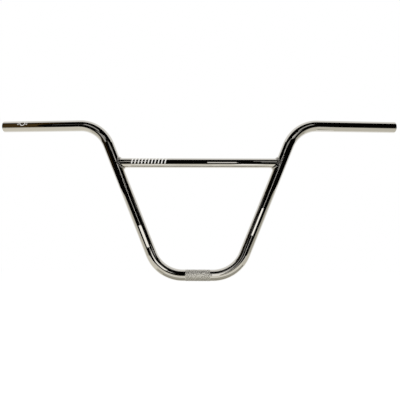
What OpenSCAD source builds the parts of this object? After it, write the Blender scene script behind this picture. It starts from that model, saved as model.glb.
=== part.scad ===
/* [Bar] */
// Width of the bar, between the middles of its two ends
bar_width = 812.8; // [720:0.1:1000]
// Rise, from the middle of the clamp to the middle of each end
rise = 304.8; // [200:0.1:400]
// Sweep of each grip towards the rider, in degrees
backsweep = 11; // [1:0.5:18]
// Sweep of each grip upwards, in degrees
upsweep = 2; // [0:0.5:6]
// Lean of each leg outwards from upright, in degrees
leg_lean = 22.3; // [8:0.1:28]
// Length of the straight between the lower bends, which the stem clamps
clamp_straight = 58.5; // [45:0.5:90]
// Radius of each lower bend, to the tube's middle line
lower_bend_r = 66.7; // [40:0.1:90]
// Radius of each upper bend, to the tube's middle line
upper_bend_r = 66.7; // [40:0.1:90]

/* [Main tube] */
// Outside diameter
tube_d = 22.2; // [21:0.1:28]
// Wall at the clamp, the bends and the legs
tube_wall = 1.65; // [1.2:0.05:3]
// How far bending draws in both skins of the tube
bend_draw = 0.02; // [0.01:0.01:0.1]
// Wall of the thinned ends under the grips
grip_wall = 1.25; // [0.9:0.05:3]
// Length of the inside taper between the two walls
butt_taper = 30; // [5:1:80]
// Chamfer round both edges of each cut end
end_chamfer = 0.4; // [0.1:0.05:0.5]

/* [Crossbar] */
// Outside diameter
crossbar_d = 19.05; // [14:0.05:20]
// Wall
crossbar_wall = 0.9; // [0.7:0.05:2]
// Distance down the leg from the upper bend to the crossbar's middle line
crossbar_drop = 39; // [22:0.5:120]
// Gap left between each coped end and the leg for the weld to fill
cope_gap = 0.05; // [0.02:0.01:0.3]
// Diameter of the gas vent through the leg's wall inside each coped end
vent_d = 5; // [3:0.5:8]

/* [Welds] */
// Width of the bead on each of the two tubes that it joins
weld_width = 3.6; // [2.5:0.1:5]
// Height of the bead's round face above the flat between its two edges
weld_crown = 0.7; // [0.3:0.05:1.2]
// Depth of the dips between one ripple and the next
weld_ripple = 0.45; // [0.1:0.05:0.6]
// Length of one ripple along the joint
weld_pitch = 2.6; // [2:0.1:4]

/* [Hidden] */
$fn = 96;

// Headings of the middle line on the right: along the clamp, up the leg and out along the grip
clamp_dir = [1, 0, 0];
leg_dir = [sin(leg_lean), 0, cos(leg_lean)];
grip_dir = [cos(backsweep) * cos(upsweep), sin(backsweep) * cos(upsweep), sin(upsweep)];

// Corners where the straight lines would meet, and the length that each bend takes off them
lower_cut = lower_bend_r * tan(acos(clamp_dir * leg_dir) / 2);
upper_cut = upper_bend_r * tan(acos(leg_dir * grip_dir) / 2);
foot = [clamp_straight / 2 + lower_cut, 0, 0];
grip_reach = (bar_width / 2 - foot.x - rise * tan(leg_lean)) / (grip_dir.x - grip_dir.z * tan(leg_lean));
leg_reach = (rise - grip_reach * grip_dir.z) / cos(leg_lean);
knee = foot + leg_reach * leg_dir;

// Where the crossbar's middle line meets the leg's
joint = foot + (leg_reach - upper_cut - crossbar_drop) * leg_dir;

// How far the full section of each straight laps over the drawn one of a bend
bend_lap = 0.3;

// Clearance that keeps the bead off both tubes, and the sections that shape each ripple
weld_clearance = 0.03;
ripple_steps = 6;
foot_steps = 3;
face_steps = 4;

function unit(v) = v / norm(v);

// Sets its children at a point, with their +Z along a heading and their +X along a side square to it
module placed(at, heading, side) {
    up = cross(heading, side);
    multmatrix([
        [side.x, up.x, heading.x, at.x],
        [side.y, up.y, heading.y, at.y],
        [side.z, up.z, heading.z, at.z],
        [0, 0, 0, 1]
    ]) children();
}

module tube_section(draw = 0) {
    difference() {
        circle(r = tube_d / 2 - draw);
        circle(r = tube_d / 2 - tube_wall + draw);
    }
}

module straight_run(at, heading, length) {
    placed(at - bend_lap * heading, heading, [0, 1, 0]) linear_extrude(length + 2 * bend_lap) tube_section();
}

// A bend between two headings, whose straight lines would meet at a corner
module bend(corner, cut, radius, from, to) {
    outward = unit((to * from) * from - to);
    placed(corner - cut * from - radius * outward, cross(outward, from), outward)
        rotate_extrude(angle = acos(from * to)) translate([radius, 0]) tube_section(bend_draw);
}

// The butted end: full wall at the bend, then a taper, then the thin wall and a chamfered mouth
module grip_run() {
    length = grip_reach - upper_cut;
    outer = tube_d / 2;
    placed(knee + upper_cut * grip_dir, grip_dir, unit(cross([0, 0, 1], grip_dir)))
        rotate_extrude() polygon([
            [outer - tube_wall, -bend_lap],
            [outer, -bend_lap],
            [outer, length - end_chamfer],
            [outer - end_chamfer, length],
            [outer - grip_wall + end_chamfer, length],
            [outer - grip_wall, length - end_chamfer],
            [outer - grip_wall, butt_taper],
            [outer - tube_wall, 0]
        ]);
}

module half_tube() {
    bend(foot, lower_cut, lower_bend_r, clamp_dir, leg_dir);
    straight_run(foot + lower_cut * leg_dir, leg_dir, leg_reach - lower_cut - upper_cut);
    bend(knee, upper_cut, upper_bend_r, leg_dir, grip_dir);
    grip_run();
}

module on_both_sides() {
    children();
    mirror([1, 0, 0]) children();
}

// One tube, bent four times, with a vent on the inner side of each leg
module main_tube() {
    color("silver") difference() {
        union() {
            straight_run([-clamp_straight / 2, 0, 0], clamp_dir, clamp_straight);
            on_both_sides() half_tube();
        }
        on_both_sides() translate(joint) rotate([0, -90, 0]) cylinder(d = vent_d, h = tube_d);
    }
}

// A thin tube with both ends coped to the legs
module crossbar() {
    color("silver") difference() {
        translate([-joint.x, 0, joint.z]) rotate([0, 90, 0]) cylinder(d = crossbar_d, h = 2 * joint.x);
        translate([-joint.x, 0, joint.z]) rotate([0, 90, 0])
            cylinder(d = crossbar_d - 2 * crossbar_wall, h = 2 * joint.x);
        on_both_sides() placed(foot, leg_dir, [0, 1, 0]) cylinder(d = tube_d + 2 * cope_gap, h = leg_reach);
    }
}

// Radii of the two skins that the bead lies on
leg_skin = tube_d / 2 + weld_clearance;
bar_skin = crossbar_d / 2 + weld_clearance;

// Where the skins cross, at an angle round the crossbar from its top: inward along X, then Y and Z
function seam(a) =
    let (y = bar_skin * sin(a), z = bar_skin * cos(a))
    [-(sqrt(leg_skin * leg_skin - y * y) - z * sin(leg_lean)) / cos(leg_lean), y, z];

// A seam point on the leg's unrolled skin: the way round it, then the way up it
function unrolled(p) = [leg_skin * asin(p.y / leg_skin) * PI / 180, p * leg_dir];

// The point of the leg's skin at an unrolled place
function on_leg(q) =
    let (a = q.x / leg_skin * 180 / PI, inner = [-cos(leg_lean), 0, sin(leg_lean)])
    q.y * leg_dir + leg_skin * (cos(a) * inner + [0, sin(a), 0]);

// The seam's outward normal on the unrolled skin
function seam_normal(a) =
    let (d = unrolled(seam(a + 0.5)) - unrolled(seam(a - 0.5)))
    unit([-d.y, d.x]);

ripples = round(PI * (leg_skin + bar_skin) / weld_pitch);

// Height left at a place along the bead: each ripple is a crescent that trails at the bead's edges
function ripple(turns, across) =
    let (phase = turns - 0.35 * pow(2 * across - 1, 2), f = phase - floor(phase))
    weld_ripple * (sin(180 * f) - 1);

// One section of the bead: its foot on the leg, its root, its edge on the crossbar and its round face
function bead_section(a) =
    let (
        turns = ripples * a / 360,
        root = seam(a),
        reach = weld_width + ripple(turns, 0) / 2,
        leg_foot = [for (k = [0 : foot_steps - 1])
            on_leg(unrolled(root) + reach * (1 - k / foot_steps) * seam_normal(a))],
        bar_edge = root - [reach, 0, 0],
        away = unit((leg_foot[0] + bar_edge) / 2 - root),
        face = [for (k = [1 : face_steps - 1])
            let (t = k / face_steps, height = weld_crown + ripple(turns, t))
            bar_edge + (leg_foot[0] - bar_edge) * t + 4 * t * (1 - t) * height * away]
    )
    concat(leg_foot, [root, bar_edge], face);

// The bead round the right-hand joint: a closed ring of sections, each joined to the next
module weld_bead() {
    sections = [for (i = [0 : ripples * ripple_steps - 1]) bead_section(i * 360 / (ripples * ripple_steps))];
    n = len(sections);
    m = len(sections[0]);
    points = [for (s = sections) each s];
    faces = [for (i = [0 : n - 1], k = [0 : m - 1])
        let (j = (i + 1) % n, l = (k + 1) % m)
        each [[i * m + k, j * m + k, j * m + l], [i * m + k, j * m + l, i * m + l]]];
    color("silver") translate(joint) polyhedron(points, faces);
}

module weld_bead_right() {
    weld_bead();
}

module weld_bead_left() {
    mirror([1, 0, 0]) weld_bead();
}

main_tube();
crossbar();
weld_bead_left();
weld_bead_right();
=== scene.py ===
from math import acos, asin, cos, floor, pi, radians, sin, sqrt, tan

import bmesh
import bpy
from mathutils import Matrix, Vector


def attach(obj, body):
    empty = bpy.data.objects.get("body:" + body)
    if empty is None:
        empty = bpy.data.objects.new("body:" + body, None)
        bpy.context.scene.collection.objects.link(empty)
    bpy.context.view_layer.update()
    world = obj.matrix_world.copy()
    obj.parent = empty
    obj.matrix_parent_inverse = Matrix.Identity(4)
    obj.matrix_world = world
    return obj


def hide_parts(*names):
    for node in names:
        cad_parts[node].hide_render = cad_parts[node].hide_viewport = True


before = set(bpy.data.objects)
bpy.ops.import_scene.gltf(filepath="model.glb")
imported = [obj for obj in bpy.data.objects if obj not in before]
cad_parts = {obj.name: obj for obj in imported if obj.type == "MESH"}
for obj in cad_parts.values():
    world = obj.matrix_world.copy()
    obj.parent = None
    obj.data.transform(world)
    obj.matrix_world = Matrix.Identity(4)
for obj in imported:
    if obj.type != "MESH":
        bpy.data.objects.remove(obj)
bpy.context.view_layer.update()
scene = bpy.context.scene
mm = 0.001
mergeGap = 0.001 * mm  # points closer than this are one point
print("frame loaded")


# small tools

def linear(hexCode):  # an sRGB hex colour, turned linear for the shader
    channels = [int(hexCode[i:i + 2], 16) / 255 for i in (1, 3, 5)]
    return [c / 12.92 if c <= 0.04045 else ((c + 0.055) / 1.055) ** 2.4 for c in channels] + [1]


def perMetre(size):  # the scale of a noise whose spots are this many millimetres across
    return 1 / (size * mm)


def addNode(tree, kind, settings=None, inputs=None):  # one node, its settings, values and links
    node = tree.nodes.new("ShaderNode" + kind)
    for name, value in (settings or {}).items():
        setattr(node, name, value)
    for name, value in (inputs or {}).items():
        if isinstance(value, bpy.types.NodeSocket):
            tree.links.new(value, node.inputs[name])
        else:
            node.inputs[name].default_value = value
    return node


def newMaterial(name):
    material = bpy.data.materials.new(name)
    material.use_nodes = True
    material.node_tree.nodes.clear()
    return material, material.node_tree


def ringOf(geometry):  # the edges among what an operator has made
    return [part for part in geometry if isinstance(part, bmesh.types.BMEdge)]


def extrudeRing(bm, ring, way, length, cuts=1):  # a straight run of tube, in even cuts
    for _ in range(cuts):
        made = bmesh.ops.extrude_edge_only(bm, edges=ring)["geom"]
        verts = [part for part in made if isinstance(part, bmesh.types.BMVert)]
        bmesh.ops.translate(bm, vec=way * (length / cuts), verts=verts)
        ring = ringOf(made)
    return ring


def resizeRing(bm, ring, centre, size):  # widens or narrows the ring about the tube's middle
    verts = list({v for edge in ring for v in edge.verts})
    bmesh.ops.scale(bm, vec=(size,) * 3, space=Matrix.Translation(-centre), verts=verts)


def spinRing(bm, ring, centre, axis, angle, steps):  # a bend of the tube
    made = bmesh.ops.spin(bm, geom=ring, cent=centre, axis=axis, angle=angle, steps=steps)
    return ringOf(made["geom_last"])


def finishPiece(name, bm, materials, replaced=(), sharpAngle=30):
    # turns the bmesh into a piece that rides on the bar, with its creases left sharp
    for edge in bm.edges:
        if edge.is_manifold and edge.calc_face_angle() > radians(sharpAngle):
            edge.smooth = False
    mesh = bpy.data.meshes.new(name)
    bm.to_mesh(mesh)
    bm.free()
    for material in materials:
        mesh.materials.append(material)
    piece = bpy.data.objects.new(name, mesh)
    scene.collection.objects.link(piece)
    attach(piece, "root")
    if replaced:
        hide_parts(*replaced)
    print(name, "made,", len(mesh.polygons), "faces")


# camera, fitted to the photograph

shot = {"aim": (3.661, 0, 147.184), "distance": 1000,  # millimetres
        "pitch": -6.395, "yaw": -0.541, "roll": 0.223,  # degrees; a pitch below 0 looks up
        "lens": 45.582}


def addCamera(s):
    pitch, yaw, roll = (radians(s[name]) for name in ("pitch", "yaw", "roll"))
    ahead = Vector((sin(yaw) * cos(pitch), cos(yaw) * cos(pitch), -sin(pitch)))
    side = Vector((cos(yaw), -sin(yaw), 0))
    up = side.cross(ahead)
    side, up = side * cos(roll) + up * sin(roll), up * cos(roll) - side * sin(roll)
    camera = bpy.data.objects.new("camera", bpy.data.cameras.new("camera"))
    camera.data.lens = s["lens"]
    camera.matrix_world = Matrix((side, up, -ahead)).transposed().to_4x4()
    camera.location = (Vector(s["aim"]) - ahead * s["distance"]) * mm
    scene.collection.objects.link(camera)
    scene.camera = camera


addCamera(shot)

# middle line of the bar, as the frame has it: millimetres and degrees

bar = {
    "tubeR": 11.1, "wall": 1.65, "gripWall": 1.25, "taper": 30, "chamfer": 0.4,
    "width": 812.8, "rise": 304.8, "clampHalf": 29.25, "bendR": 66.7, "crossDrop": 39,
    "lean": 22.3, "backsweep": 11, "upsweep": 2,
    "sides": 80, "bendSteps": 32, "outerCuts": 6, "boreLegCuts": 2, "boreGripCuts": 4,
    "knurlHalf": 24, "knurlRows": 27, "knurlDepth": 0.07, "knurlEdge": 0.1,
}

clampWay = Vector((1, 0, 0))
lean = radians(bar["lean"])
legWay = Vector((sin(lean), 0, cos(lean)))
back, lift = radians(bar["backsweep"]), radians(bar["upsweep"])
gripWay = Vector((cos(back) * cos(lift), sin(back) * cos(lift), sin(lift)))
lowerTurn, upperTurn = acos(clampWay @ legWay), acos(legWay @ gripWay)
lowerCut, upperCut = (bar["bendR"] * tan(turn / 2) for turn in (lowerTurn, upperTurn))
foot = Vector((bar["clampHalf"] + lowerCut, 0, 0))
gripReach = ((bar["width"] / 2 - foot.x - bar["rise"] * tan(lean))
             / (gripWay.x - gripWay.z * tan(lean)))
legReach = (bar["rise"] - gripReach * gripWay.z) / cos(lean)
knee = foot + legReach * legWay
joint = foot + (legReach - upperCut - bar["crossDrop"]) * legWay
gripStart = knee + upperCut * gripWay
gripLength = gripReach - upperCut
gripTip = knee + gripReach * gripWay
print("joint at", [round(c, 3) for c in joint], "and tip at", [round(c, 3) for c in gripTip])


# materials: sizes in millimetres, colours in sRGB

mixFrom, mixTo, mixResult = 6, 7, 2  # where a Mix node keeps its colours

chromeLook = {
    "clear": "#CDCAC3", "hazed": "#C7C3BA",
    "hazeSize": 29.41, "hazeFrom": 0.4, "hazeTo": 0.75, "clearRough": 0.02, "hazedRough": 0.055,
    "speckSize": 1.111, "speckFrom": 0.72, "speckTo": 0.78, "speckRough": 0.12,
    "rippleSize": 11.11, "rippleHeight": 0.012,
}


def chromePlate(s):
    # Bright chrome over polished steel tube: a near mirror, very slightly warm, with a faint
    # ripple left by the polishing wheel, a thin haze here and there, and a few rubbed specks
    material, tree = newMaterial("chromePlate")
    place = addNode(tree, "TexCoord").outputs["Object"]
    haze = addNode(tree, "TexNoise", None, {
        "Vector": place, "Scale": perMetre(s["hazeSize"]), "Detail": 4, "Roughness": 0.6})
    specks = addNode(tree, "TexNoise", None, {
        "Vector": place, "Scale": perMetre(s["speckSize"]), "Detail": 2, "Roughness": 0.5})
    hazed = addNode(tree, "MapRange", None, {
        "Value": haze.outputs["Fac"], "From Min": s["hazeFrom"], "From Max": s["hazeTo"],
        "To Min": s["clearRough"], "To Max": s["hazedRough"]})
    rubbed = addNode(tree, "MapRange", None, {
        "Value": specks.outputs["Fac"], "From Min": s["speckFrom"], "From Max": s["speckTo"],
        "To Min": 0, "To Max": s["speckRough"]})
    rough = addNode(tree, "Math", {"operation": "ADD"}, {
        0: hazed.outputs["Result"], 1: rubbed.outputs["Result"]})
    tint = addNode(tree, "Mix", {"data_type": "RGBA"}, {
        "Factor": haze.outputs["Fac"], mixFrom: linear(s["clear"]), mixTo: linear(s["hazed"])})
    ripple = addNode(tree, "TexNoise", None, {
        "Vector": place, "Scale": perMetre(s["rippleSize"]), "Detail": 1})
    bump = addNode(tree, "Bump", None, {
        "Height": ripple.outputs["Fac"], "Strength": 1, "Distance": s["rippleHeight"] * mm})
    shader = addNode(tree, "BsdfPrincipled", None, {
        "Base Color": tint.outputs[mixResult], "Metallic": 1, "Roughness": rough.outputs[0],
        "Normal": bump.outputs["Normal"]})
    addNode(tree, "OutputMaterial", None, {"Surface": shader.outputs["BSDF"]})
    return material


knurlLook = {
    # the groove colour is painted shade in the grooves; the point colour is a painted highlight on
    # the diamonds' points
    "grooveShade": "#96938A", "point": "#FAF7EF", "metallic": 0.88,
    "wearSize": 3.846, "wearFrom": 0.3, "wearTo": 0.7, "freshRough": 0.42, "wornRough": 0.54,
}


def knurledChrome(s):
    # Chrome over a rolled diamond knurl: matt grey, since each tiny facet throws the light
    # another way, with painted shade, a darker grey, in the grooves and a painted highlight, near
    # white, on the points
    material, tree = newMaterial("knurledChrome")
    place = addNode(tree, "TexCoord").outputs["Object"]
    apart = addNode(tree, "SeparateXYZ", None, {"Vector": place})
    flat = addNode(tree, "CombineXYZ", None, {"Y": apart.outputs["Y"], "Z": apart.outputs["Z"]})
    radius = addNode(tree, "VectorMath", {"operation": "LENGTH"}, {
        "Vector": flat.outputs["Vector"]})
    height = addNode(tree, "MapRange", None, {
        "Value": radius.outputs["Value"], "From Min": (bar["tubeR"] - bar["knurlDepth"]) * mm,
        "From Max": bar["tubeR"] * mm})
    # the colour follows the radius: painted shade down in the grooves, painted highlight up on the
    # points
    colour = addNode(tree, "Mix", {"data_type": "RGBA"}, {
        "Factor": height.outputs["Result"],
        mixFrom: linear(s["grooveShade"]), mixTo: linear(s["point"])})
    wear = addNode(tree, "TexNoise", None, {
        "Vector": place, "Scale": perMetre(s["wearSize"]), "Detail": 3})
    rough = addNode(tree, "MapRange", None, {
        "Value": wear.outputs["Fac"], "From Min": s["wearFrom"], "From Max": s["wearTo"],
        "To Min": s["freshRough"], "To Max": s["wornRough"]})
    shader = addNode(tree, "BsdfPrincipled", None, {
        "Base Color": colour.outputs[mixResult], "Metallic": s["metallic"],
        "Roughness": rough.outputs["Result"]})
    addNode(tree, "OutputMaterial", None, {"Surface": shader.outputs["BSDF"]})
    return material


boreLook = {
    "steel": "#7C7A77", "bloom": "#5B4636", "metallic": 0.8,
    "bloomSize": 8.333, "bloomFrom": 0.42, "bloomTo": 0.68, "bloomHeight": 0.1,
    "steelRough": 0.42, "bloomRough": 0.75,
}


def boreSteel(s):
    # Bare drawn steel inside the tube, which the plating doesn't reach: dull grey, brown bloom
    material, tree = newMaterial("boreSteel")
    place = addNode(tree, "TexCoord").outputs["Object"]
    bloom = addNode(tree, "TexNoise", None, {
        "Vector": place, "Scale": perMetre(s["bloomSize"]), "Detail": 5, "Roughness": 0.65})
    spread = addNode(tree, "MapRange", None, {
        "Value": bloom.outputs["Fac"], "From Min": s["bloomFrom"], "From Max": s["bloomTo"]})
    colour = addNode(tree, "Mix", {"data_type": "RGBA"}, {
        "Factor": spread.outputs["Result"], mixFrom: linear(s["steel"]), mixTo: linear(s["bloom"])})
    rough = addNode(tree, "MapRange", None, {
        "Value": spread.outputs["Result"], "To Min": s["steelRough"], "To Max": s["bloomRough"]})
    bump = addNode(tree, "Bump", None, {
        "Height": bloom.outputs["Fac"], "Strength": 0.4, "Distance": s["bloomHeight"] * mm})
    shader = addNode(tree, "BsdfPrincipled", None, {
        "Base Color": colour.outputs[mixResult], "Metallic": s["metallic"],
        "Roughness": rough.outputs["Result"], "Normal": bump.outputs["Normal"]})
    addNode(tree, "OutputMaterial", None, {"Surface": shader.outputs["BSDF"]})
    return material


weldLook = {
    "bright": "#D0CDC6", "dull": "#BDB8AE",
    "grainSize": 0.7143, "grainFrom": 0.3, "grainTo": 0.7, "grainHeight": 0.02,
    "smoothRough": 0.08, "grainRough": 0.2,
}


def weldChrome(s):
    # The same chrome over weld metal, which isn't polished: satin, with fine grain on the ripples
    material, tree = newMaterial("weldChrome")
    place = addNode(tree, "TexCoord").outputs["Object"]
    grain = addNode(tree, "TexNoise", None, {
        "Vector": place, "Scale": perMetre(s["grainSize"]), "Detail": 3})
    rough = addNode(tree, "MapRange", None, {
        "Value": grain.outputs["Fac"], "From Min": s["grainFrom"], "From Max": s["grainTo"],
        "To Min": s["smoothRough"], "To Max": s["grainRough"]})
    tint = addNode(tree, "Mix", {"data_type": "RGBA"}, {
        "Factor": grain.outputs["Fac"], mixFrom: linear(s["bright"]), mixTo: linear(s["dull"])})
    bump = addNode(tree, "Bump", None, {
        "Height": grain.outputs["Fac"], "Strength": 0.5, "Distance": s["grainHeight"] * mm})
    shader = addNode(tree, "BsdfPrincipled", None, {
        "Base Color": tint.outputs[mixResult], "Metallic": 1,
        "Roughness": rough.outputs["Result"], "Normal": bump.outputs["Normal"]})
    addNode(tree, "OutputMaterial", None, {"Surface": shader.outputs["BSDF"]})
    return material


inkLook = {"pinholeSize": 0.9091, "wornFrom": 0.62, "wornTo": 0.72, "ior": 1.5,
           "smoothRough": 0.3, "wornRough": 0.5}


def printInk(name, inkColour, wornColour, s):
    # Screen-printed enamel ink on the chrome: a thin semi-gloss film with pinholes and rubbed spots
    material, tree = newMaterial(name)
    place = addNode(tree, "TexCoord").outputs["Object"]
    grain = addNode(tree, "TexNoise", None, {
        "Vector": place, "Scale": perMetre(s["pinholeSize"]), "Detail": 3})
    worn = addNode(tree, "MapRange", None, {
        "Value": grain.outputs["Fac"], "From Min": s["wornFrom"], "From Max": s["wornTo"]})
    colour = addNode(tree, "Mix", {"data_type": "RGBA"}, {
        "Factor": worn.outputs["Result"], mixFrom: linear(inkColour), mixTo: linear(wornColour)})
    rough = addNode(tree, "MapRange", None, {
        "Value": grain.outputs["Fac"], "To Min": s["smoothRough"], "To Max": s["wornRough"]})
    shader = addNode(tree, "BsdfPrincipled", None, {
        "Base Color": colour.outputs[mixResult], "Roughness": rough.outputs["Result"],
        "IOR": s["ior"]})
    addNode(tree, "OutputMaterial", None, {"Surface": shader.outputs["BSDF"]})
    return material


chrome, knurl = chromePlate(chromeLook), knurledChrome(knurlLook)
bore, beadChrome = boreSteel(boreLook), weldChrome(weldLook)
print("metal finishes made")


# the bent tube, skin and bore in one closed wall, with the knurl rolled into the clamp

def bentTube(s):
    bm = bmesh.new()
    r, bendR, sides, steps = s["tubeR"] * mm, s["bendR"] * mm, s["sides"], s["bendSteps"]
    innerR, mouthR, cut = r - s["wall"] * mm, r - s["gripWall"] * mm, s["chamfer"] * mm
    legLength = (legReach - lowerCut - upperCut) * mm
    lowerCentre = Vector((s["clampHalf"] * mm, 0, bendR))
    inward = (gripWay - (gripWay @ legWay) * legWay).normalized()
    upperCentre = (knee - upperCut * legWay) * mm + bendR * inward
    lowerAxis = clampWay.cross(legWay).normalized()
    upperAxis = legWay.cross(gripWay).normalized()
    tip = gripTip * mm

    upright = Matrix.Rotation(pi / 2, 4, "Y")
    start = bmesh.ops.create_circle(bm, segments=sides, radius=r, matrix=upright)
    ring = list({e for v in start["verts"] for e in v.link_edges})
    ring = extrudeRing(bm, ring, clampWay, s["knurlHalf"] * mm, s["knurlRows"])
    ring = extrudeRing(bm, ring, clampWay, (s["clampHalf"] - s["knurlHalf"]) * mm)
    ring = spinRing(bm, ring, lowerCentre, lowerAxis, lowerTurn, steps)
    ring = extrudeRing(bm, ring, legWay, legLength, s["outerCuts"])
    ring = spinRing(bm, ring, upperCentre, upperAxis, upperTurn, steps)
    ring = extrudeRing(bm, ring, gripWay, gripLength * mm - cut, s["outerCuts"])
    ring = extrudeRing(bm, ring, gripWay, cut)
    resizeRing(bm, ring, tip, (r - cut) / r)
    ring = extrudeRing(bm, ring, gripWay, 0)
    resizeRing(bm, ring, tip, (mouthR + cut) / (r - cut))
    skin = set(bm.faces)
    ring = extrudeRing(bm, ring, -gripWay, cut)
    resizeRing(bm, ring, tip - gripWay * cut, mouthR / (mouthR + cut))
    ring = extrudeRing(bm, ring, -gripWay, (gripLength - s["taper"]) * mm - cut, s["boreGripCuts"])
    ring = extrudeRing(bm, ring, -gripWay, s["taper"] * mm)
    resizeRing(bm, ring, gripStart * mm, innerR / mouthR)
    ring = spinRing(bm, ring, upperCentre, upperAxis, -upperTurn, steps)
    ring = extrudeRing(bm, ring, -legWay, legLength, s["boreLegCuts"])
    ring = spinRing(bm, ring, lowerCentre, lowerAxis, -lowerTurn, steps)
    extrudeRing(bm, ring, -clampWay, s["clampHalf"] * mm, s["boreLegCuts"])
    for face in bm.faces:
        face.smooth = True
        face.material_index = 0 if face in skin else 2
    rightHalf = bm.verts[:] + bm.edges[:] + bm.faces[:]
    bmesh.ops.mirror(bm, geom=rightHalf, axis="X", merge_dist=mergeGap)
    bmesh.ops.remove_doubles(bm, verts=bm.verts, dist=mergeGap)
    rollKnurl(bm, s)
    bmesh.ops.recalc_face_normals(bm, faces=bm.faces)
    return bm


def rollKnurl(bm, s):  # diamonds between two crossing sets of grooves, each raised to a point
    half, nearly = s["knurlHalf"] * mm, s["knurlEdge"] * mm
    wallMiddle = (s["tubeR"] - s["wall"] / 2) * mm

    def radiusOf(v):
        return sqrt(v.co.y ** 2 + v.co.z ** 2)

    def inKnurl(face):
        return abs(face.calc_center_median().x) < half and radiusOf(face.verts[0]) > wallMiddle

    def pushTo(verts, radius):
        for v in verts:
            k = radius * mm / radiusOf(v)
            v.co.y, v.co.z = v.co.y * k, v.co.z * k

    cells = [face for face in bm.faces if inKnurl(face)]
    corners = dict.fromkeys(v for face in cells for v in face.verts if abs(v.co.x) < half - nearly)
    lines = dict.fromkeys(
        edge for face in cells for edge in face.edges
        if all(v in corners for v in edge.verts)
        or abs(edge.verts[0].co.x - edge.verts[1].co.x) > nearly)
    middles = bmesh.ops.poke(bm, faces=cells)
    pushTo(list(corners) + middles["verts"], s["tubeR"] - s["knurlDepth"])
    bmesh.ops.dissolve_edges(bm, edges=[edge for edge in lines if edge.is_valid])
    diamonds = [face for face in bm.faces if len(face.verts) == 4 and inKnurl(face)]
    points = bmesh.ops.poke(bm, faces=diamonds)
    pushTo(points["verts"], s["tubeR"])
    for face in bm.faces:
        if inKnurl(face):
            face.material_index = 1
            face.smooth = False


finishPiece("barTube", bentTube(bar), [chrome, knurl, bore], ["main_tube"])


# the crossbar, coped to the legs: millimetres

cross = {"tubeR": 9.525, "wall": 0.9, "gap": 0.05, "rimZone": 1, "sides": 80, "cuts": 12}


def insetAt(legR, y, z):  # how far inside the joint the leg's skin lies, along the crossbar
    return (sqrt(legR ** 2 - y ** 2) - z * sin(lean)) / cos(lean)


def crossTube(s):
    bm = bmesh.new()
    length, legR = 2 * joint.x * mm, (bar["tubeR"] + s["gap"]) * mm
    start = Matrix.Translation((-joint.x * mm, 0, joint.z * mm)) @ Matrix.Rotation(pi / 2, 4, "Y")
    first = bmesh.ops.create_circle(bm, segments=s["sides"], radius=s["tubeR"] * mm, matrix=start)
    outer = list({e for v in first["verts"] for e in v.link_edges})
    ring = extrudeRing(bm, outer, clampWay, length, s["cuts"])
    ring = extrudeRing(bm, ring, clampWay, 0)
    resizeRing(bm, ring, joint * mm, (s["tubeR"] - s["wall"]) / s["tubeR"])
    ring = extrudeRing(bm, ring, -clampWay, length)
    bmesh.ops.bridge_loops(bm, edges=outer + ring)
    for v in bm.verts:  # the points of both ends move onto the leg's skin
        if abs(v.co.x) > (joint.x - s["rimZone"]) * mm:
            inset = insetAt(legR, v.co.y, v.co.z - joint.z * mm)
            v.co.x = (joint.x * mm - inset) * (1 if v.co.x > 0 else -1)
    for face in bm.faces:
        face.smooth = True
    bmesh.ops.recalc_face_normals(bm, faces=bm.faces)
    return bm


finishPiece("crossTube", crossTube(cross), [chrome], ["crossbar"])


# the weld beads, one saddle-shaped ring of ripples round each joint: millimetres

bead = {
    "width": 3.6, "crown": 0.7, "ripple": 0.45, "pitch": 2.6, "trail": 0.35, "clearance": 0.03,
    "rippleSteps": 12, "footSteps": 2, "edgeSteps": 2, "faceSteps": 12,
    "seamStep": 0.009,  # radians each way, to find the way along the seam
}
sectionSteps = bead["footSteps"] + bead["edgeSteps"] + bead["faceSteps"]
legSkin, crossSkin = bar["tubeR"] + bead["clearance"], cross["tubeR"] + bead["clearance"]


def seamPoint(angle):  # where the two skins cross, from the crossbar's top round to its back
    y, z = crossSkin * sin(angle), crossSkin * cos(angle)
    return Vector((-insetAt(legSkin, y, z), y, z))


def unrolled(point):  # a point of the leg's skin, rolled out flat
    return Vector((legSkin * asin(point.y / legSkin), point @ legWay))


def onLeg(flat):  # and back
    turn = flat.x / legSkin
    outwards = Vector((-cos(lean) * cos(turn), sin(turn), sin(lean) * cos(turn)))
    return flat.y * legWay + legSkin * outwards


def rippleAt(turns, across):  # each ripple is a crescent that trails at the bead's edges
    phase = turns - bead["trail"] * (2 * across - 1) ** 2
    return bead["ripple"] * (sin(pi * (phase - floor(phase))) - 1)


def beadPoint(around, across, ripples):  # round the joint, and round the bead's own section
    angle, turns = 2 * pi * around, ripples * around
    root = seamPoint(angle)
    ahead, behind = (unrolled(seamPoint(angle + way * bead["seamStep"])) for way in (1, -1))
    along = ahead - behind
    outwards = Vector((-along.y, along.x)).normalized()
    reach = bead["width"] + rippleAt(turns, 0) / 2
    legEdge = onLeg(unrolled(root) + reach * outwards)
    crossEdge = root - Vector((reach, 0, 0))
    step = across * sectionSteps
    if step <= bead["footSteps"]:  # the foot, on the leg
        return onLeg(unrolled(root) + reach * (1 - step / bead["footSteps"]) * outwards)
    step -= bead["footSteps"]
    if step <= bead["edgeSteps"]:  # the side that lies on the crossbar
        return root.lerp(crossEdge, step / bead["edgeSteps"])
    t = (step - bead["edgeSteps"]) / bead["faceSteps"]  # the round face
    away = ((legEdge + crossEdge) / 2 - root).normalized()
    height = 4 * t * (1 - t) * (bead["crown"] + rippleAt(turns, t))
    return crossEdge.lerp(legEdge, t) + height * away


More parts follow.
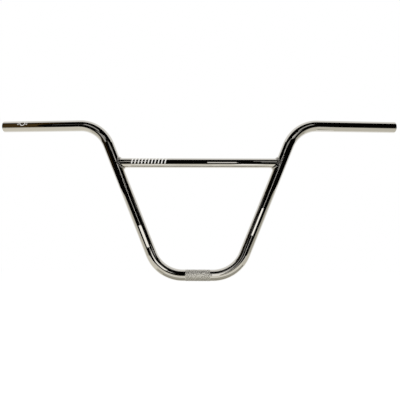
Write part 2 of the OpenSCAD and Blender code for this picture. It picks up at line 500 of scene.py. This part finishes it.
def weldBead(side):
    bm = bmesh.new()
    ripples = round(pi * (legSkin + crossSkin) / bead["pitch"])
    around = ripples * bead["rippleSteps"]
    bmesh.ops.create_grid(bm, x_segments=around, y_segments=sectionSteps, size=0.5)
    for v in bm.verts:  # the flat grid is wrapped round the joint
        point = (joint + beadPoint(v.co.x + 0.5, v.co.y + 0.5, ripples)) * mm
        v.co = Vector((point.x * side, point.y, point.z))
    bmesh.ops.remove_doubles(bm, verts=bm.verts, dist=mergeGap / 2)
    for face in bm.faces:
        face.smooth = True
    bmesh.ops.recalc_face_normals(bm, faces=bm.faces)
    return bm


finishPiece("weldRight", weldBead(1), [beadChrome], ["weld_bead_right"], sharpAngle=60)
finishPiece("weldLeft", weldBead(-1), [beadChrome], ["weld_bead_left"], sharpAngle=60)


# prints, a film of ink each: drawn flat in millimetres, then rolled onto the tube

film = {"lift": 0.01, "thick": 0.03}

crossMark = {
    "x": -97.5, "turn": 22, "ink": "#F4F3EF", "worn": "#A9A69F",
    "bars": 11, "barStep": 6.6, "barWidth": 2.3, "barHeight": 13, "slant": 0.22, "cuts": (2, 16),
}
gripMark = {
    "fromTip": 46, "turn": 27, "ink": "#DAD9D5", "worn": "#96938C",
    "ringR": 6.4, "ringWidth": 1.7, "ringSides": 64,
    "barFromMiddle": 9.4, "barLength": 3.6, "barStep": 3.4, "barWidth": 1.4, "cuts": (4, 2),
}


def addStroke(bm, centre, size, cuts, slant=0):  # one flat bar, slanted along the tube
    shear = Matrix.Identity(4)
    shear[0][1] = slant
    place = Matrix.Translation((*centre, 0)) @ shear @ Matrix.Diagonal((*size, 1, 1))
    bmesh.ops.create_grid(bm, x_segments=cuts[0], y_segments=cuts[1], size=0.5, matrix=place)


def slantedBars(s):  # a row of slanted bars: along the tube in X and round it in Y
    bm = bmesh.new()
    for i in range(s["bars"]):
        along = s["barStep"] * (i - (s["bars"] - 1) / 2)
        addStroke(bm, (along, 0), (s["barWidth"], s["barHeight"]), s["cuts"], s["slant"])
    return bm


def ringedBars(s):  # a ring with three short bars on each side
    bm = bmesh.new()
    ring = bmesh.ops.create_circle(bm, segments=s["ringSides"], radius=s["ringR"], cap_ends=True)
    disc = list({f for v in ring["verts"] for f in v.link_faces})
    bmesh.ops.inset_region(bm, faces=disc, thickness=s["ringWidth"], use_boundary=True)
    bmesh.ops.delete(bm, geom=disc, context="FACES")
    for side in (-1, 1):
        for row in (-1, 0, 1):
            centre = (side * s["barFromMiddle"], row * s["barStep"])
            addStroke(bm, centre, (s["barLength"], s["barWidth"]), s["cuts"])
    return bm


def wrapMark(bm, tubeR, place, turn):  # thickens the flat mark and rolls it onto its tube
    made = bmesh.ops.extrude_face_region(bm, geom=bm.faces[:])["geom"]
    top = [part for part in made if isinstance(part, bmesh.types.BMVert)]
    bmesh.ops.translate(bm, vec=(0, 0, film["thick"]), verts=top)
    for v in bm.verts:
        angle, radius = v.co.y / tubeR, tubeR + film["lift"] + v.co.z
        v.co = Vector((v.co.x, -radius * cos(angle), radius * sin(angle)))
    turned = place @ Matrix.Rotation(radians(-turn), 4, "X")
    bmesh.ops.transform(bm, matrix=Matrix.Scale(mm, 4) @ turned, verts=bm.verts)
    bmesh.ops.recalc_face_normals(bm, faces=bm.faces)
    for face in bm.faces:
        face.smooth = True
    return bm


crossSpot = Matrix.Translation((crossMark["x"], 0, joint.z))
whiteInk = printInk("whiteInk", crossMark["ink"], crossMark["worn"], inkLook)
marks = wrapMark(slantedBars(crossMark), cross["tubeR"], crossSpot, crossMark["turn"])
finishPiece("crossMarks", marks, [whiteInk])

leftWay = Vector((gripWay.x, -gripWay.y, -gripWay.z))  # along the left grip, to the middle
upWay = (Vector((0, 0, 1)) - leftWay.z * leftWay).normalized()
spot = knee + (gripReach - gripMark["fromTip"]) * gripWay
gripSpot = Matrix((leftWay, upWay.cross(leftWay), upWay)).transposed().to_4x4()
gripSpot.translation = (-spot.x, spot.y, spot.z)
greyInk = printInk("greyInk", gripMark["ink"], gripMark["worn"], inkLook)
marks = wrapMark(ringedBars(gripMark), bar["tubeR"], gripSpot, gripMark["turn"])
finishPiece("gripMark", marks, [greyInk])


# studio: pale floor, white all round, and cards that only the metal sees; millimetres

studio = {
    "floorZ": -350, "floorHalf": 12000, "floorColour": "#E6E6E6", "floorGlow": 0.37,
    "worldForLight": 0.8, "farY": -2600, "highlightCardY": -110,
}


def whiteForMetal(tree, plain):
    # 1 for camera, glossy and transmission rays, and the given level for the rest
    rays = addNode(tree, "LightPath")
    seen = addNode(tree, "Math", {"operation": "ADD", "use_clamp": True}, {
        0: rays.outputs["Is Camera Ray"], 1: rays.outputs["Is Glossy Ray"]})
    both = addNode(tree, "Math", {"operation": "ADD", "use_clamp": True}, {
        0: seen.outputs[0], 1: rays.outputs["Is Transmission Ray"]})
    return addNode(tree, "MapRange", None, {"Value": both.outputs[0], "To Min": plain, "To Max": 1})


def addWorld(s):
    world = bpy.data.worlds.new("studioWhite")
    world.use_nodes = True
    tree = world.node_tree
    tree.nodes.clear()
    level = whiteForMetal(tree, s["worldForLight"])
    white = addNode(tree, "Background", None, {
        "Color": (1, 1, 1, 1), "Strength": level.outputs["Result"]})
    addNode(tree, "OutputWorld", None, {"Surface": white.outputs["Background"]})
    scene.world = world


def stageMesh(name, bm, material):
    mesh = bpy.data.meshes.new(name)
    bm.to_mesh(mesh)
    bm.free()
    mesh.materials.append(material)
    thing = bpy.data.objects.new(name, mesh)
    scene.collection.objects.link(thing)
    return thing


def addFloor(s):  # matt paper, with the part of its white that casts no light added as a glow
    material, tree = newMaterial("paleFloor")
    level = whiteForMetal(tree, 0)
    lifted = addNode(tree, "Math", {"operation": "MULTIPLY"}, {
        0: level.outputs["Result"], 1: s["floorGlow"]})
    matt = addNode(tree, "BsdfDiffuse", None, {"Color": linear(s["floorColour"])})
    glow = addNode(tree, "Emission", None, {
        "Color": (1, 1, 1, 1), "Strength": lifted.outputs[0]})
    both = addNode(tree, "AddShader", None, {0: matt.outputs["BSDF"], 1: glow.outputs["Emission"]})
    addNode(tree, "OutputMaterial", None, {"Surface": both.outputs["Shader"]})
    bm = bmesh.new()
    bmesh.ops.create_grid(bm, x_segments=1, y_segments=1, size=s["floorHalf"] * mm,
                          matrix=Matrix.Translation((0, 0, s["floorZ"] * mm)))
    stageMesh("floor", bm, material)


def addLamp(name, centre, size, watts, aim=(0, 0, 150)):
    lamp = bpy.data.lights.new(name, "AREA")
    lamp.shape, lamp.size, lamp.energy = "SQUARE", size * mm, watts
    thing = bpy.data.objects.new(name, lamp)
    thing.location = Vector(centre) * mm
    thing.rotation_euler = (Vector(aim) - Vector(centre)).to_track_quat("-Z", "Y").to_euler()
    thing.visible_glossy = False
    scene.collection.objects.link(thing)


def addCard(name, centre, size, colour, strength=1, roll=0, tilt=0, turn=0):
    # an upright card, rolled in its own plane, laid back by tilt and turned about the upright
    material, tree = newMaterial(name)
    glow = addNode(tree, "Emission", None, {"Color": linear(colour), "Strength": strength})
    addNode(tree, "OutputMaterial", None, {"Surface": glow.outputs["Emission"]})
    bm = bmesh.new()
    place = (Matrix.Translation(Vector(centre) * mm) @ Matrix.Rotation(radians(turn), 4, "Z")
             @ Matrix.Rotation(radians(90 - tilt), 4, "X") @ Matrix.Rotation(radians(roll), 4, "Z")
             @ Matrix.Diagonal((size[0] * mm, size[1] * mm, 1, 1)))
    bmesh.ops.create_grid(bm, x_segments=1, y_segments=1, size=0.5, matrix=place)
    card = stageMesh(name, bm, material)
    card.visible_camera = card.visible_diffuse = card.visible_transmission = False
    card.visible_shadow = card.visible_volume_scatter = False


addWorld(studio)
addFloor(studio)
addLamp("keyLamp", (-1200, -1500, 1700), 1400, 11)
addLamp("fillLamp", (1500, -1100, 900), 1200, 4.5)
addLamp("backLamp", (300, 1600, 1500), 1200, 6)

# the dark side of the studio, in front of the bar
dark, brown, pale, white = "#070605", "#4A3A20", "#F6F4EB", "#FFFFFF"
addCard("darkFront", (0, -2700, 1175), (5400, 3050), dark)
addCard("darkAbove", (0, -1560, 2700), (5400, 2280), dark, tilt=90)
addCard("brownLeft", (-659, -250, 449), (207, 599), brown)
for side in (-1, 1):
    addCard("darkSide", (side * 2700, -1050, 1175), (3300, 3050), dark, turn=90)
    addCard("darkCorner", (side * 2605, -459, -334), (600, 2000), dark, tilt=90, roll=side * -21)

# cards that lie flat under the bar: name, centre, size and colour
flatCards = (
    ("darkBelow", (0, -1725, -335), (900, 1950), dark),
    ("darkBelowSide", (-1575, -1925, -335), (2250, 1550), dark),
    ("darkBelowSide", (1575, -1925, -335), (2250, 1550), dark),
    ("darkFlank", (-1875, -990, -335), (1650, 320), dark),
    ("darkFlank", (1875, -990, -335), (1650, 320), dark),
    ("paleClose", (0, -325, -100), (540, 350), pale),
    ("greyClose", (0, -57.5, -100), (360, 85), "#BDBBB2"),
    # painted shadow: a grey patch of floor under the bar, standing for the bar's shade, that only
    # the metal sees
    ("paintedShadowUnder", (135, 95, -330), (850, 300), "#ADABA2"),
    ("greyNear", (425, -170, -330), (270, 230), "#BDBBB2"),
    ("greyRight", (1745, -150, -330), (1290, 1400), "#C6C4BB"),
    ("greyLeft", (-1720, -150, -330), (1340, 1400), "#E2E0D7"),
    ("middleLeft", (-360, -20, -330), (140, 530), "#D6D4CB"),
    ("paleRight", (830, -150, -330), (540, 1400), "#E6E4DB"),
    ("paleLeft", (-670, -150, -332), (760, 1400), pale),
)
for name, centre, size, colour in flatCards:
    addCard(name, centre, size, colour, tilt=90)

# strip lamps and a tall panel at the far side: name, centre in X and Z, size and strength
farPanels = (
    ("stripLeft", (-560, 1340), (280, 280), 1),
    ("stripRight", (690, 1300), (515, 280), 1),
    ("stripFarLeft", (-2046, 1261), (785, 110), 0.35),
    ("panelLow", (136, 436), (215, 944), 1),
)
for name, (x, z), size, strength in farPanels:
    addCard(name, (x, studio["farY"], z), size, white, strength)

# small glowing cards close to the tube, lit by no lamp and seen only by the metal, each painting a
# highlight onto one spot: name, centre in X and Z, size, strength and roll
highlightCards = (
    ("LegLeft", (-113, 80.5), (92, 50), 1.4, 21.5),
    ("LegRight", (110, 117), (59, 63), 1.5, -22.5),
    ("BendLeft", (-64, 43), (50, 26), 1.3, 59),
    ("BendRight", (24, 82), (50, 12), 0.4, -65),
    ("Clamp", (38, 12), (18, 84), 1.2, 0),
    ("KneeLeft", (-262, 349), (75, 34), 0.5, -20),
    ("KneeRight", (260, 351), (76, 36), 0.5, 20),
    ("ThighLeft", (-246, 288), (62, 31), 0.5, 20),
    ("ThighRight", (238, 300), (54, 28), 0.5, -20),
    ("JointLeft", (-137, 296), (58, 32), 0.4, 0),
    ("JointRight", (150, 305), (58, 30), 0.4, 0),
)
for name, (x, z), size, strength, roll in highlightCards:
    addCard("highlightCard" + name, (x, studio["highlightCardY"], z), size, white, strength, roll)
# a glowing card that paints a highlight onto the middle of the knurl
addCard("highlightCardKnurl", (0, -45, 9), (48, 18), white, 2.4)

scene.view_settings.view_transform = "Standard"
print("studio set")
